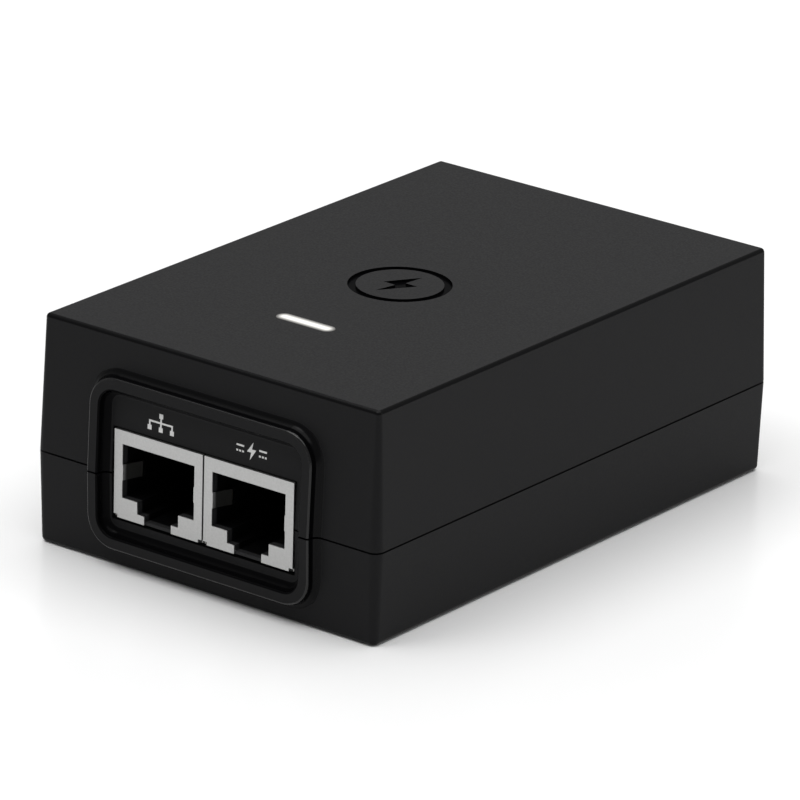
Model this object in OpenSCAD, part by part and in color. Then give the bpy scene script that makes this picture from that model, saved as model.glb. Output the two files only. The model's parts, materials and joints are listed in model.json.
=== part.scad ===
// Power injector for network cables: a two-part moulded case with two screened
// sockets in a raised frame at the front, a mains inlet at the rear, a light bar
// on top, a switching supply on one board, and a slide-on wall bracket below.
//
// Frame: +Z up, the sockets face -Y, and the origin is the middle of the footprint
// on the surface that the case stands on.

/* [Case] */
// Width of the case at the parting line
case_w = 57; // [56:0.5:72]
// Depth of the case from its front face to its rear face
case_d = 86; // [85:0.5:106]
// Height of the case
case_h = 32; // [31:0.5:40]
// Height of the parting line above the underside
seam_z = 12.9; // [11:0.1:15.5]
// Height of the open line between cover and base
seam_gap = 0.25; // [0.15:0.05:0.4]
// Thickness of the front, rear and side walls
wall = 2; // [1.7:0.1:2.4]
// Thickness of the cover's top
roof_t = 2; // [1.6:0.1:2.5]
// Thickness of the base's floor
floor_t = 1.8; // [1.5:0.1:2.2]
// How far each side leans in between the parting line and the top
cover_lean = 0.72; // [0.3:0.02:0.9]
// How far each side leans in between the parting line and the underside
base_lean = 0.37; // [0.2:0.01:0.6]
// Radius of the upright corners at the parting line
corner_r = 1.35; // [1.25:0.05:4]
// Radius of the edges round the top
top_edge_r = 0.6; // [0.3:0.05:1.1]
// Radius of the edges round the underside
bottom_edge_r = 0.7; // [0.4:0.05:1.1]
// Height of the welded tongue that stands inside the cover
tongue_h = 1.5; // [1:0.1:2.5]
// Thickness of the welded tongue
tongue_t = 0.9; // [0.6:0.05:1.1]

/* [Socket frame] */
// How far the frame stands in front of the case
rim_proud = 1.6; // [0.8:0.1:2.4]
// Outer width of the frame
rim_w = 37; // [36:0.1:42]
// Outer height of the frame
rim_h = 23.7; // [22:0.1:26]
// Height of the frame's lower edge above the underside
rim_z = 2.85; // [2.2:0.05:3.6]
// Width of the frame's flat face
rim_t = 1.75; // [1:0.05:2.2]
// Outer corner radius of the frame
rim_corner_r = 4.2; // [3.2:0.1:6]
// Radius of the hollow fillet at the frame's foot
rim_foot_r = 1.1; // [0.3:0.05:1.2]
// Radius of the frame's outer edges
rim_edge_r = 0.3; // [0.1:0.05:0.5]

/* [Sockets] */
// Width of one socket's metal shield
jack_w = 14.85; // [14.2:0.05:15.2]
// Height of one socket's metal shield
jack_h = 12.3; // [12:0.05:13.5]
// Depth of one socket's metal shield
jack_d = 18; // [17:0.5:21]
// Space between the two shields
jack_gap = 0.25; // [0.1:0.05:0.6]
// Height of the sockets' underside, which is the board's upper face
jack_z = 7.05; // [6.8:0.05:8]
// How far the shields stand in front of the case's front face
jack_proud = 0.15; // [0:0.05:0.5]
// Thickness of the shield's sheet metal
shield_t = 0.25; // [0.2:0.05:0.3]
// Width of the notch in each lower corner of the shield's face
shield_notch_w = 0.6; // [0.3:0.05:0.9]
// Height of the notch in each lower corner of the shield's face
shield_notch_h = 0.45; // [0.3:0.05:0.8]
// Width of the plug opening
plug_w = 12.1; // [11.9:0.05:12.3]
// Height of the plug opening above the latch notch
plug_h = 7.5; // [7:0.1:7.8]
// Height of the metal above the plug opening
plug_top = 1.9; // [1.7:0.05:2.2]
// Width of the upper step of the latch notch
latch_wide = 6.9; // [6.2:0.1:7.4]
// Height of the upper step of the latch notch
latch_step = 1.7; // [1.2:0.1:1.9]
// Width of the lower step of the latch notch
latch_narrow = 4.5; // [3.8:0.1:5]
// Depth of the plug cavity
plug_d = 13.5; // [12.5:0.25:14.5]
// Space left of the sockets in the case's opening
port_gap_left = 0.5; // [0.1:0.05:0.8]
// Space right of the sockets in the case's opening
port_gap_right = 0.15; // [0.1:0.05:0.8]
// Space below the sockets in the case's opening
port_gap_below = 0.5; // [0.1:0.05:0.8]
// Space above the sockets in the case's opening
port_gap_above = 0.15; // [0.1:0.05:0.5]
// Distance between neighbouring contact springs
contact_pitch = 1.02; // [0.98:0.01:1.06]
// Diameter of a contact wire
contact_wire_d = 0.4; // [0.3:0.02:0.46]

/* [Light and mark] */
// Length of the light bar
light_l = 9.3; // [6:0.1:12]
// Width of the light bar
light_w = 2.3; // [1.6:0.1:3]
// Distance from the case's front face to the middle of the light bar
light_y = 20.5; // [19.5:0.1:24]
// Space round the light bar in the cover
light_gap = 0.05; // [0.02:0.01:0.15]
// Radius of the ring sunk into the top
mark_r = 7; // [4:0.1:8]
// Distance from the case's front face to the middle of the ring
mark_y = 40.5; // [34:0.5:60]
// Width of the ring's line
mark_line_w = 1.1; // [0.4:0.05:1.5]
// Depth of the ring and of the bolt inside it
mark_depth = 0.35; // [0.1:0.05:0.6]

/* [Mains inlet] */
// Outer width of the inlet's housing
inlet_w = 28; // [27.4:0.1:29]
// Outer height of the inlet's housing
inlet_h = 20.2; // [19.8:0.1:21]
// Depth of the inlet's housing
inlet_d = 18.5; // [18:0.1:20]
// Width of the cavity that takes the mains connector
inlet_cavity_w = 24.6; // [24.4:0.1:25]
// Height of the cavity that takes the mains connector
inlet_cavity_h = 16.9; // [16.7:0.1:17.2]
// Depth of the cavity that takes the mains connector
inlet_cavity_d = 16; // [15:0.1:16.5]
// Distance between the live and the neutral pin
pin_spread = 14; // [13.8:0.1:14.2]
// Height of one pin
pin_h = 4; // [3.9:0.05:4.1]
// Thickness of one pin
pin_t = 2; // [1.9:0.05:2.1]

/* [Board] */
// Thickness of the circuit board
board_t = 1.6; // [1.2:0.1:1.6]
// Space between the board and the side walls
board_gap = 1; // [0.6:0.1:1.5]
// Diameter of the board screws' shanks
screw_d = 2.2; // [2:0.1:2.6]

/* [Wall bracket] */
// Width of the bracket between its two side tongues
bracket_w = 34; // [30:0.5:35]
// Width of one side tongue
bracket_tongue_w = 2; // [1.5:0.1:2.5]
// Length of the rails that the bracket slides on
bracket_l = 44; // [36:0.5:50]
// Thickness of the bracket
bracket_t = 1.7; // [1.6:0.05:1.9]
// Thickness of the bracket's side tongues
bracket_tongue_t = 0.8; // [0.6:0.05:0.9]
// Space between the bracket and its rails
bracket_gap = 0.3; // [0.25:0.05:0.4]
// Distance between the bracket's two screw holes
bracket_hole_pitch = 24; // [16:0.5:26]
// Diameter of the bracket's screw holes
bracket_hole_d = 3.6; // [3:0.1:4]

/* [Hidden] */
$fn = 64;
tiny = 0.01;

// Places of the case
front_y = -(case_d + rim_proud) / 2 + rim_proud;
back_y = front_y + case_d;
mid_y = (front_y + back_y) / 2;
cover_z = seam_z + seam_gap / 2;
base_top_z = seam_z - seam_gap / 2;
roof_z = case_h - roof_t;
cover_angle = atan(cover_lean / (case_h - cover_z));
base_angle = atan(base_lean / base_top_z);
inner_corner_r = corner_r - 0.3;
inner_edge_r = 0.4;
skin_steps = 56;
inner_steps = 24;
tongue_in = wall - tongue_t - 0.1;
bolt_ring_r = 5.2;

// Places of the sockets
jack_pair_w = 2 * jack_w + jack_gap;
lan_x = -jack_pair_w / 2;
poe_x = jack_gap / 2;
jack_face_y = front_y - jack_proud;
plug_ceiling = jack_h - plug_top;
plug_floor = plug_ceiling - plug_h;
insert_gap = 0.05;
insert_floor_t = 0.45;
spring_y = 3.2;
spring_rise = 0.5;
spring_l = 7.6;
spring_angle = 20;
spring_slot_h = 1.2;
spring_slot_w = 7 * contact_pitch + contact_wire_d + 0.8;
tail_row_ys = [14.2, 16.5];
tail_r = 0.23;
tail_hole_r = 0.45;
leg_ys = [5, 12];
leg_w = 1.6;
lead_below = 0.9;

// Places of the board
board_z = jack_z - board_t;
board_w = case_w - 2 * wall - 2 * board_gap;
board_front_y = front_y + wall + 0.6;
board_back_y = back_y - wall - 0.6;
screw_x = board_w / 2 - 3.2;
screw_ys = [board_front_y + 3.1, board_back_y - 3.2];
post_r = 2.6;
screw_head_r = 2.2;
screw_head_h = 1.6;
screw_l = 4.5;

// Places of the inlet: its pins lie about the middle of its cavity
inlet_face_y = back_y - 0.2;
inlet_front_y = inlet_face_y - inlet_d;
inlet_mid_z = jack_z + inlet_h / 2;
inlet_gap = 0.2;
inlet_chamfer = 5;
pin_drop = 2;
pin_recess = 1.2;
pin_tail = 2.4;
pin_tail_t = 1.2;
pin_hole_r = 1.1;

// Places of the bracket: it lies just above the surface that the case stands on
bracket_z = 0.3;
bracket_front_y = back_y - bracket_l;
bracket_end_gap = 0.6;
rail_lip_z = bracket_z + bracket_t - bracket_tongue_t - bracket_gap;
slot_roof_z = bracket_z + bracket_t + bracket_gap;
slot_cover_t = 1.3;
slot_side_t = 1.5;
slot_half_w = bracket_w / 2 + bracket_tongue_w + bracket_gap;
raised_half_w = slot_half_w + slot_side_t;
raised_floor_z = slot_roof_z + slot_cover_t;
label_recess = 0.2;
label_t = 0.15;
label_size = [38, 24];
label_mid_y = (front_y + bracket_front_y) / 2;

// Places of the parts on the board, from the board's edges and the big parts
left_x = -board_w / 2;
right_x = board_w / 2;
side_room = (board_w - inlet_w) / 2;
sink_t = 1.5;
sink_h = 19;
sink_in = 1.2;
to220_t = 4.4;
to220_w = 10.2;
to220_h = 15.5;
lead_h = 3.5;
core_w = 26;
core_d = 20;
core_h = 20;
led_h = 1.4;
light_mid_y = front_y + light_y;
transformer_y = light_mid_y + light_w / 2 + 4.6 + core_d / 2;
transformer_back_y = transformer_y + core_d / 2;
output_cap_r = 4;
output_cap_h = 16;
output_cap_y = transformer_y - core_d / 2 - 1.4;
bulk_r = 8;
bulk_h = 21;

// Colours
case_black = "#1c1c1d";
inner_black = "#232324";
steel = "#b4b3af";
gold = "#c9a24a";
tin = "#c6c7c8";
aluminium = "#a9acb0";
board_green = "#1f5a37";

// --- 2D shapes ---

module rounded_rect(w, h, r) {
    square([w - 2 * r, h], center = true);
    square([w, h - 2 * r], center = true);
    for (sx = [-1, 1], sy = [-1, 1]) {
        translate([sx * (w / 2 - r), sy * (h / 2 - r)]) circle(r);
    }
}

// Half outline of a leaning block: it starts at x = reach and leans in towards y = h,
// where its outer edge is rounded
module lean_half(reach, h, lean, edge_r, steps) {
    a = atan(lean / h);
    cx = reach - (h - edge_r) * tan(a) - edge_r / cos(a);
    polygon([
        [0, 0], [reach, 0],
        [cx + edge_r * cos(a), h - edge_r + edge_r * sin(a)],
        [cx, h], [0, h]
    ]);
    intersection() {
        translate([cx, h - edge_r]) circle(edge_r, $fn = steps);
        square([reach, h]);
    }
}

// Front view of the plug opening, from the shield's lower left corner down to a floor
module plug_outline(floor_z) {
    mid = jack_w / 2;
    step_z = plug_floor - latch_step;
    translate([mid - plug_w / 2, plug_floor]) square([plug_w, plug_h]);
    translate([mid - latch_wide / 2, step_z]) square([latch_wide, latch_step + tiny]);
    translate([mid - latch_narrow / 2, floor_z]) square([latch_narrow, step_z - floor_z + tiny]);
}

// Lightning bolt, drawn to stand in a ring of radius bolt_ring_r
module bolt_symbol() {
    polygon([
        [0.5, 3], [-1.7, -0.45], [-0.25, -0.45],
        [-0.75, -3], [1.7, 0.6], [0.25, 0.6]
    ]);
}

// --- Case ---

// Block that stands on z = 0 and leans in on all four sides towards its top: a skin
// over four corner posts, which holds no bore
module lean_block(w, d, h, lean, corner, edge_r, steps) {
    x = w / 2 - corner;
    y = d / 2 - corner;
    edge = min(edge_r, corner - lean);
    hull() {
        for (sx = [-1, 1], sy = [-1, 1]) translate([sx * x, sy * y, 0]) {
            rotate_extrude($fn = steps) lean_half(corner, h, lean, edge, steps);
        }
    }
}

// Section across the frame: u points out across it, v away from the case
module rim_section(bury) {
    half = rim_t / 2;
    translate([-half, -bury]) square([rim_t, rim_proud - rim_edge_r + bury]);
    translate([-half + rim_edge_r, 0]) square([rim_t - 2 * rim_edge_r, rim_proud]);
    for (s = [-1, 1]) {
        translate([s * (half - rim_edge_r), rim_proud - rim_edge_r]) circle(rim_edge_r);
        difference() {
            translate([s * (half + rim_foot_r / 2 - tiny), (rim_foot_r - bury) / 2]) {
                square([rim_foot_r + 2 * tiny, rim_foot_r + bury], center = true);
            }
            translate([s * (half + rim_foot_r), rim_foot_r]) circle(rim_foot_r);
            translate([s * (half + rim_foot_r), -bury - 1]) {
                translate([s > 0 ? 0 : -1, 0]) square([1, rim_foot_r + bury + 2]);
            }
        }
    }
}

// The whole frame, lying on z = 0 about its own middle
module rim_ring(bury) {
    mid_r = rim_corner_r - rim_t / 2;
    x = (rim_w - rim_t) / 2;
    y = (rim_h - rim_t) / 2;
    for (s = [0, 1]) rotate([0, 0, 180 * s]) {
        translate([x, y - mid_r, 0]) rotate([90, 0, 0]) {
            linear_extrude(height = 2 * (y - mid_r)) rim_section(bury);
        }
        translate([x - mid_r, y, 0]) rotate([90, 0, 90]) mirror([0, 0, 1]) {
            linear_extrude(height = 2 * (x - mid_r)) rim_section(bury);
        }
        translate([x - mid_r, y - mid_r, 0]) {
            rotate_extrude(angle = 90) translate([mid_r, 0]) rim_section(bury);
        }
        translate([-(x - mid_r), y - mid_r, 0]) rotate([0, 0, 90]) {
            rotate_extrude(angle = 90) translate([mid_r, 0]) rim_section(bury);
        }
    }
}

// Stands the frame up on a front wall that leans back by the angle from height z
module rim_on_front(z, angle) {
    translate([0, front_y, z]) rotate([90 + angle, 0, 0]) {
        translate([0, rim_z + rim_h / 2 - z, 0]) rim_ring(wall / 2);
    }
}

// All of space between two heights
module slab(z_low, z_high) {
    size = case_w + case_d;
    translate([-size, -size, z_low]) cube([2 * size, 2 * size, z_high - z_low]);
}

// The opening for both sockets, through the front wall
module port_cut() {
    x_low = -jack_pair_w / 2 - port_gap_left;
    x_high = jack_pair_w / 2 + port_gap_right;
    z_low = jack_z - port_gap_below;
    z_high = jack_z + jack_h + port_gap_above;
    translate([x_low, front_y - rim_proud - 1, z_low]) {
        cube([x_high - x_low, rim_proud + wall + 3, z_high - z_low]);
    }
}

// The opening for the mains inlet, through the rear wall
module inlet_cut() {
    w = inlet_w + 2 * inlet_gap;
    h = inlet_h + 2 * inlet_gap;
    translate([-w / 2, back_y - wall - 1, inlet_mid_z - h / 2]) cube([w, wall + 2, h]);
}

// Ring between two rounded outlines, each in by its own distance from the case's sides
module case_ring(z, h, outer_in, inner_in) {
    translate([0, mid_y, z]) linear_extrude(height = h) difference() {
        rounded_rect(case_w - 2 * outer_in, case_d - 2 * outer_in, corner_r - outer_in / 2);
        rounded_rect(case_w - 2 * inner_in, case_d - 2 * inner_in, inner_corner_r);
    }
}

module top_cover() {
    h = case_h - cover_z;
    color(case_black) difference() {
        union() {
            difference() {
                translate([0, mid_y, cover_z]) {
                    lean_block(case_w, case_d, h, cover_lean, corner_r, top_edge_r, skin_steps);
                }
                translate([0, mid_y, cover_z - tiny]) lean_block(
                    case_w - 2 * wall, case_d - 2 * wall, h - roof_t + tiny,
                    cover_lean, inner_corner_r, inner_edge_r, inner_steps
                );
            }
            intersection() {
                rim_on_front(cover_z, -cover_angle);
                slab(cover_z, case_h);
            }
        }
        case_ring(cover_z - tiny, tongue_h + tiny, tongue_in, wall + 1);
        port_cut();
        inlet_cut();
        translate([0, light_mid_y, roof_z - 1]) linear_extrude(height = roof_t + 2) {
            rounded_rect(light_l + 2 * light_gap, light_w + 2 * light_gap,
                light_w / 2 + light_gap - tiny);
        }
        translate([0, front_y + mark_y, case_h - mark_depth]) {
            linear_extrude(height = mark_depth + 1) {
                difference() {
                    circle(mark_r);
                    circle(mark_r - mark_line_w);
                }
                scale(mark_r / bolt_ring_r) bolt_symbol();
            }
        }
    }
}

module base_tray() {
    color(case_black) difference() {
        union() {
            difference() {
                translate([0, mid_y, base_top_z]) mirror([0, 0, 1]) {
                    lean_block(
                        case_w, case_d, base_top_z, base_lean, corner_r, bottom_edge_r, skin_steps
                    );
                }
                translate([0, mid_y, base_top_z + tiny]) mirror([0, 0, 1]) lean_block(
                    case_w - 2 * wall, case_d - 2 * wall, base_top_z - floor_t + tiny,
                    base_lean, inner_corner_r, inner_edge_r, inner_steps
                );
            }
            intersection() {
                rim_on_front(base_top_z, base_angle);
                slab(0, base_top_z);
            }
            case_ring(base_top_z - 1, seam_gap + tongue_h + 1, tongue_in, tongue_in + tongue_t);
            translate([-raised_half_w, bracket_front_y - slot_side_t, floor_t - tiny]) {
                cube([2 * raised_half_w, bracket_l + 1, raised_floor_z - floor_t + tiny]);
            }
            for (sx = [-1, 1], y = screw_ys) translate([sx * screw_x, y, floor_t - tiny]) {
                cylinder(r = post_r, h = board_z - floor_t + tiny);
            }
        }
        port_cut();
        inlet_cut();
        bracket_slot();
        translate([0, label_mid_y, -1]) linear_extrude(height = 1 + label_recess) {
            rounded_rect(label_size[0] + 0.4, label_size[1] + 0.4, 1.2);
        }
        for (sx = [-1, 1], y = screw_ys) {
            translate([sx * screw_x, y, board_z - (screw_l - board_t)]) {
                cylinder(d = screw_d, h = screw_l);
            }
        }
    }
}

// Undercut slot for the bracket, open at the rear
module bracket_slot() {
    l = bracket_l + 1;
    half = bracket_w / 2 + bracket_gap;
    translate([-half, bracket_front_y, -1]) cube([2 * half, l, slot_roof_z + 1]);
    translate([-slot_half_w, bracket_front_y, rail_lip_z]) {
        cube([2 * slot_half_w, l, slot_roof_z - rail_lip_z]);
    }
}

module light_pipe() {
    flange_w = light_w + 1.6;
    color("#f2f4f2") translate([0, light_mid_y, 0]) {
        translate([0, 0, roof_z - tiny]) linear_extrude(height = roof_t + tiny) {
            rounded_rect(light_l, light_w, light_w / 2 - tiny);
        }
        translate([0, 0, roof_z - 1]) linear_extrude(height = 1) {
            rounded_rect(light_l + 1.6, flange_w, 1);
        }
        translate([-3, -light_w / 2, jack_z + led_h + 0.4]) {
            cube([6, light_w, roof_z - 1 - jack_z - led_h - 0.4 + tiny]);
        }
    }
}

module rating_label() {
    color("#d8d9da") translate([0, label_mid_y, label_recess - label_t]) {
        linear_extrude(height = label_t) rounded_rect(label_size[0], label_size[1], 1);
    }
}

module wall_bracket() {
    y = bracket_front_y + bracket_gap;
    l = bracket_l - bracket_gap - bracket_end_gap;
    hole_y = y + l / 2;
    top_z = bracket_z + bracket_t;
    full_half = bracket_w / 2 + bracket_tongue_w;
    countersink = 3.2;
    ribs = 5;
    rib_l = 18;
    window = [10, 8];
    color(inner_black) difference() {
        union() {
            translate([-bracket_w / 2, y, bracket_z]) cube([bracket_w, l, bracket_t]);
            translate([-full_half, y, top_z - bracket_tongue_t]) {
                cube([2 * full_half, l, bracket_tongue_t]);
            }
        }
        for (sx = [-1, 1]) translate([sx * bracket_hole_pitch / 2, hole_y, bracket_z - 1]) {
            cylinder(d = bracket_hole_d, h = bracket_t + 2);
            translate([0, 0, bracket_t]) {
                cylinder(d1 = bracket_hole_d, d2 = bracket_hole_d + countersink, h = 1 + tiny);
            }
        }
        for (i = [0:ribs - 1]) translate([-rib_l / 2, y + l - 3 - 2 * i, bracket_z - 1]) {
            cube([rib_l, 1, 1.5]);
        }
        translate([-window[0] / 2, y + 6, bracket_z - 1]) {
            cube([window[0], window[1], bracket_t + 2]);
        }
    }
}

// --- Sockets ---

// Moves a socket's parts to its place: x from the shield's left side, y from its
// face, z from the board
module at_jack(x) {
    translate([x, jack_face_y, jack_z]) children();
}

// A thing seen from the front, extruded back from y = from by d
module front_extrude(from, d) {
    translate([0, from + d, 0]) rotate([90, 0, 0]) linear_extrude(height = d) children();
}

// Sprung earth leaf on the left edge of the plug opening
module earth_leaf() {
    leaf_h = 2.2;
    below_top = 4;
    x = jack_w / 2 - plug_w / 2;
    translate([x, 0, plug_ceiling - below_top - leaf_h / 2]) linear_extrude(height = leaf_h) {
        polygon([
            [-0.2, 0], [0.1, 0], [0.55, 1.6], [1.1, 2.9], [0.85, 3.7],
            [0.6, 3.7], [0.85, 2.95], [0.32, 1.75], [0, shield_t], [-0.2, shield_t]
        ]);
    }
}

module jack_shield(x) {
    color(steel) at_jack(x) {
        difference() {
            cube([jack_w, jack_d, jack_h]);
            translate([shield_t, shield_t, -1]) {
                cube([jack_w - 2 * shield_t, jack_d - 2 * shield_t, jack_h - shield_t + 1]);
            }
            front_extrude(-1, 2) plug_outline(-1);
            for (sx = [0, jack_w]) translate([sx, 0, 0]) {
                cube([2 * shield_notch_w, 3 * shield_t, 2 * shield_notch_h], center = true);
            }
        }
        earth_leaf();
        translate([jack_w, 0, 0]) mirror([1, 0, 0]) earth_leaf();
        for (y = leg_ys, leg_x = [0, jack_w - shield_t]) {
            translate([leg_x, y - leg_w / 2, -board_t - lead_below]) {
                cube([shield_t, leg_w, board_t + lead_below + 1]);
            }
        }
    }
}

module jack_insert(x) {
    side = shield_t + insert_gap;
    mid = jack_w / 2;
    color(inner_black) at_jack(x) difference() {
        translate([side, shield_t, 0]) {
            cube([jack_w - 2 * side, jack_d - 2 * shield_t - insert_gap, jack_h - side]);
        }
        front_extrude(0, plug_d) plug_outline(insert_floor_t);
        translate([mid - spring_slot_w / 2, 2, plug_ceiling - tiny]) {
            cube([spring_slot_w, plug_d - 2, spring_slot_h]);
        }
    }
}

// Eight wires that a plug presses up into the slot in the cavity's ceiling
module contact_springs(x) {
    mid = jack_w / 2;
    color(gold) at_jack(x) for (i = [0:7]) {
        translate([mid + (i - 3.5) * contact_pitch, spring_y, plug_ceiling + spring_rise]) {
            rotate([-90 - spring_angle, 0, 0]) cylinder(d = contact_wire_d, h = spring_l, $fn = 24);
            sphere(d = contact_wire_d, $fn = 24);
        }
    }
}

// The same wires' other ends, in two rows down through the board
module solder_pins(x) {
    mid = jack_w / 2;
    color(tin) at_jack(x) for (i = [0:7]) {
        translate([mid + (i - 3.5) * contact_pitch, tail_row_ys[i % 2], -board_t - lead_below]) {
            cylinder(r = tail_r, h = board_t + lead_below, $fn = 24);
        }
    }
}

// --- Board ---

module circuit_board() {
    color(board_green) difference() {
        translate([-board_w / 2, board_front_y, board_z]) {
            cube([board_w, board_back_y - board_front_y, board_t]);
        }
        for (sx = [-1, 1], y = screw_ys) translate([sx * screw_x, y, board_z - 1]) {
            cylinder(d = screw_d + 0.6, h = board_t + 2);
        }
        for (x = [lan_x, poe_x], i = [0:7]) {
            translate([x + jack_w / 2 + (i - 3.5) * contact_pitch,
                jack_face_y + tail_row_ys[i % 2], board_z - 1]) {
                cylinder(r = tail_hole_r, h = board_t + 2, $fn = 24);
            }
        }
        for (x = [lan_x + shield_t, 0, -lan_x - shield_t], y = leg_ys) {
            translate([x, jack_face_y + y, board_z - 1]) {
                cylinder(r = leg_w / 2 + 0.25, h = board_t + 2, $fn = 32);
            }
        }
        for (p = inlet_pin_places()) translate([p[0], p[2], board_z - 1]) {
            cylinder(r = pin_hole_r, h = board_t + 2, $fn = 32);
        }
    }
}

module board_screws() {
    color(steel) for (sx = [-1, 1], y = screw_ys) translate([sx * screw_x, y, jack_z]) {
        difference() {
            cylinder(r = screw_head_r, h = screw_head_h);
            for (a = [0, 90]) rotate([0, 0, a]) translate([-1.3, -0.25, 0.8]) {
                cube([2.6, 0.5, screw_head_h]);
            }
        }
        translate([0, 0, -screw_l]) cylinder(d = screw_d, h = screw_l + tiny);
    }
}

module insulation_sheet() {
    inset = 0.5;
    sheet_t = 0.3;
    w = 2 * (min(raised_half_w, screw_x - post_r) - inset);
    color("#d9cfae") translate([-w / 2, bracket_front_y - 1, raised_floor_z]) {
        cube([w, bracket_l - wall - 1, sheet_t]);
    }
}

module indicator_led() {
    color("#f4efcf") translate([-1.75, light_mid_y - 1.4, jack_z]) cube([3.5, 2.8, led_h]);
}

// --- Mains side ---

module inlet_cavity_outline() {
    w = inlet_cavity_w / 2;
    h = inlet_cavity_h / 2;
    polygon([
        [-w, -h], [w, -h], [w, h - inlet_chamfer], [w - inlet_chamfer, h],
        [-w + inlet_chamfer, h], [-w, h - inlet_chamfer]
    ]);
}

module inlet_housing() {
    color(inner_black) difference() {
        translate([-inlet_w / 2, inlet_front_y, jack_z]) cube([inlet_w, inlet_d, inlet_h]);
        translate([0, inlet_face_y + 1, inlet_mid_z]) rotate([90, 0, 0]) {
            linear_extrude(height = inlet_cavity_d + 1) inlet_cavity_outline();
        }
        for (p = inlet_pin_places()) inlet_blade(p);
    }
}

// Each pin: its x, its height, and how far back its tail meets the board
function inlet_pin_places() = [
    [-pin_spread / 2, inlet_mid_z - pin_drop, inlet_front_y - 1.4],
    [pin_spread / 2, inlet_mid_z - pin_drop, inlet_front_y - 1.4],
    [0, inlet_mid_z + pin_drop, inlet_front_y - 1.4]
];

module inlet_blade(p) {
    translate([p[0] - pin_t / 2, inlet_front_y - pin_tail, p[1] - pin_h / 2]) {
        cube([pin_t, inlet_d + pin_tail - pin_recess, pin_h]);
    }
}

module inlet_pins() {
    tail_z = board_z - lead_below;
    color(tin) for (p = inlet_pin_places()) {
        inlet_blade(p);
        translate([p[0] - pin_tail_t / 2, p[2] - pin_tail_t / 2, tail_z]) {
            cube([pin_tail_t, pin_tail_t, p[1] - tail_z]);
        }
    }
}

// Discs that stand on two leads, such as a varistor
module disc_on_leads(r, t) {
    translate([0, t / 2, lead_h + r]) rotate([90, 0, 0]) cylinder(r = r, h = t);
    for (s = [-1, 1]) translate([s * r / 2, 0, 0]) cylinder(r = 0.35, h = lead_h + r, $fn = 24);
}

module on_board(x, y) {
    translate([x, y, jack_z]) children();
}

module mains_fuse() {
    d = 8.4;
    h = 7.6;
    color("#4a4d50") on_board(right_x - side_room / 2, inlet_front_y + 6.2) {
        cylinder(d = d, h = h);
        translate([0, 0, h - tiny]) cylinder(d1 = d, d2 = d - 1.2, h = 0.5);
    }
}

module surge_varistor() {
    color("#2f62ad") on_board(right_x - side_room / 2 + 0.4, inlet_front_y - 2.4) {
        disc_on_leads(5, 3.4);
    }
}

module inrush_thermistor() {
    color("#31473b") on_board(right_x - side_room / 2 + 0.4, inlet_front_y - 8.2) {
        disc_on_leads(4.4, 3.6);
    }
}

module suppression_capacitor() {
    color("#d9b23a") on_board(5.6, inlet_front_y - 6.4) translate([-6.5, -3, 0]) {
        cube([13, 6, 11.5]);
    }
}

line_choke_x = left_x + side_room / 2;
line_choke_y = inlet_front_y + 2.4;

module line_choke_core() {
    color("#3a3a3c") on_board(line_choke_x, line_choke_y) difference() {
        translate([-2.4, -6.6, 1]) cube([4.8, 13.2, 12.6]);
        translate([-3, -3.7, 3.8]) cube([6, 7.4, 7]);
    }
}

module line_choke_windings() {
    color("#b4622b") on_board(line_choke_x, line_choke_y) for (s = [-1, 1]) difference() {
        translate([0, s * 5.15, 4]) cylinder(r = 3.4, h = 6.6);
        translate([-2.45, s * 5.15 - 1.47, 3]) cube([4.9, 2.94, 9]);
        translate([-4, s * 5.15 - s * 5.05 - 1.6, 3]) cube([8, 3.2, 9]);
    }
}

module bridge_rectifier() {
    color("#29292b") on_board(5.4, inlet_front_y - 11.6) {
        translate([-7.4, -1.7, 3]) cube([14.8, 3.4, 10]);
        for (i = [0:3]) translate([(i - 1.5) * 3.8, 0, 0]) {
            cylinder(r = 0.45, h = 3.2, $fn = 24);
        }
    }
}

module bulk_capacitor() {
    color("#22324f") on_board(-12.2, inlet_front_y - 12.6) difference() {
        cylinder(r = bulk_r, h = bulk_h);
        translate([0, 0, 1.6]) rotate_extrude() translate([bulk_r + 0.25, 0]) circle(0.7);
        for (a = [0, 60, 120]) translate([0, 0, bulk_h]) rotate([0, 0, a]) {
            cube([9, 0.5, 0.5], center = true);
        }
    }
}

// TO-220 package: its metal tab lies on x = 0 and its body points to +x
module power_package() {
    translate([0, -to220_w / 2, lead_h]) difference() {
        cube([1.3, to220_w, to220_h]);
        translate([-1, to220_w / 2, to220_h - 2.8]) rotate([0, 90, 0]) cylinder(d = 3.6, h = 4);
    }
    translate([1.3 - tiny, -to220_w / 2, lead_h]) {
        cube([to220_t - 1.3 + tiny, to220_w, 9]);
    }
    for (i = [-1, 0, 1]) translate([2.4, i * 2.54 - 0.4, 0]) cube([0.5, 0.8, lead_h + tiny]);
}

// Plate that stands on the board with its cooling face on x = 0, and grows to -x
module sink_plate(l) {
    translate([-sink_t, -l / 2, 0]) difference() {
        union() {
            cube([sink_t, l, sink_h]);
            translate([-sink_in + 0.4, 0, sink_h - sink_t]) cube([sink_in, l, sink_t]);
        }
        translate([-1, l / 2, lead_h + to220_h - 2.8]) rotate([0, 90, 0]) {
            cylinder(d = 2.6, h = 4);
        }
    }
}

module sink_screw() {
    z = lead_h + to220_h - 2.8;
    translate([-sink_t, 0, z]) rotate([0, 90, 0]) {
        cylinder(d = 2.6, h = sink_t + 1.3 + tiny);
        translate([0, 0, sink_t + 1.3]) difference() {
            cylinder(d = 5, h = 1.7);
            translate([-1.8, -0.3, 0.9]) cube([3.6, 0.6, 1]);
        }
    }
}

sink_x = board_w / 2 - sink_in - sink_t;
primary_y = transformer_y + 1;
secondary_y = transformer_y + 3;

module on_left_sink() {
    on_board(-sink_x, primary_y) children();
}

module on_right_sink() {
    on_board(sink_x, secondary_y) mirror([1, 0, 0]) children();
}

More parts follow.
